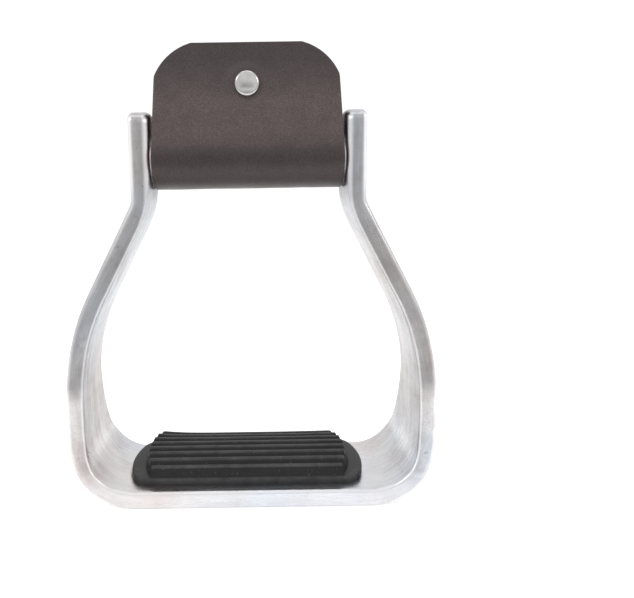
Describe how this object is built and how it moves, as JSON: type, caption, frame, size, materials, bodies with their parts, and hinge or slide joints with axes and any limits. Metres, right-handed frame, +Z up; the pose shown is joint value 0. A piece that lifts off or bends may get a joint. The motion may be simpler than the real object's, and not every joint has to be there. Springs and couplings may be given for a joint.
{
  "type": "western stirrup",
  "caption": "Bell-shaped aluminium riding stirrup with a leather sleeve folded round its neck bar and a ribbed rubber tread pad.",
  "frame": {"origin": "middle of the tread's flat underside, which is the bottom centre of the whole part", "axes": "+X from the left ear to the right ear, +Y from the front to the back, +Z up"},
  "size_m": [0.1548, 0.046, 0.1892],
  "materials": {
    "cast_aluminium": "satin, polished along the strip",
    "bar_aluminium": "turned",
    "sleeve_leather": "dark brown, semi-matte, fine grain",
    "rivet_nickel": "polished nickel plate",
    "rivet_steel": "plated",
    "pad_rubber": "moulded, matte",
    "fixing_steel": "zinc plated",
    "screw_steel": "stainless"
  },
  "bodies": {
    "frame": {"stirrup_frame": "cast_aluminium", "neck_bar": "bar_aluminium", "tread_pad": "pad_rubber", "pad_plate": "fixing_steel", "pad_nuts": "fixing_steel", "pad_screws": "screw_steel"},
    "sleeve": {"neck_sleeve": "sleeve_leather", "rivet_front_cap": "rivet_nickel", "rivet_stem": "rivet_steel", "rivet_socket": "rivet_steel", "rivet_back_cap": "rivet_nickel"}
  },
  "joints": [
    {"name": "sleeve_turn", "type": "hinge", "parent": "frame", "child": "sleeve", "pos_m": [0, 0, 0.143], "axis": [1, 0, 0], "continuous": true}
  ]
}
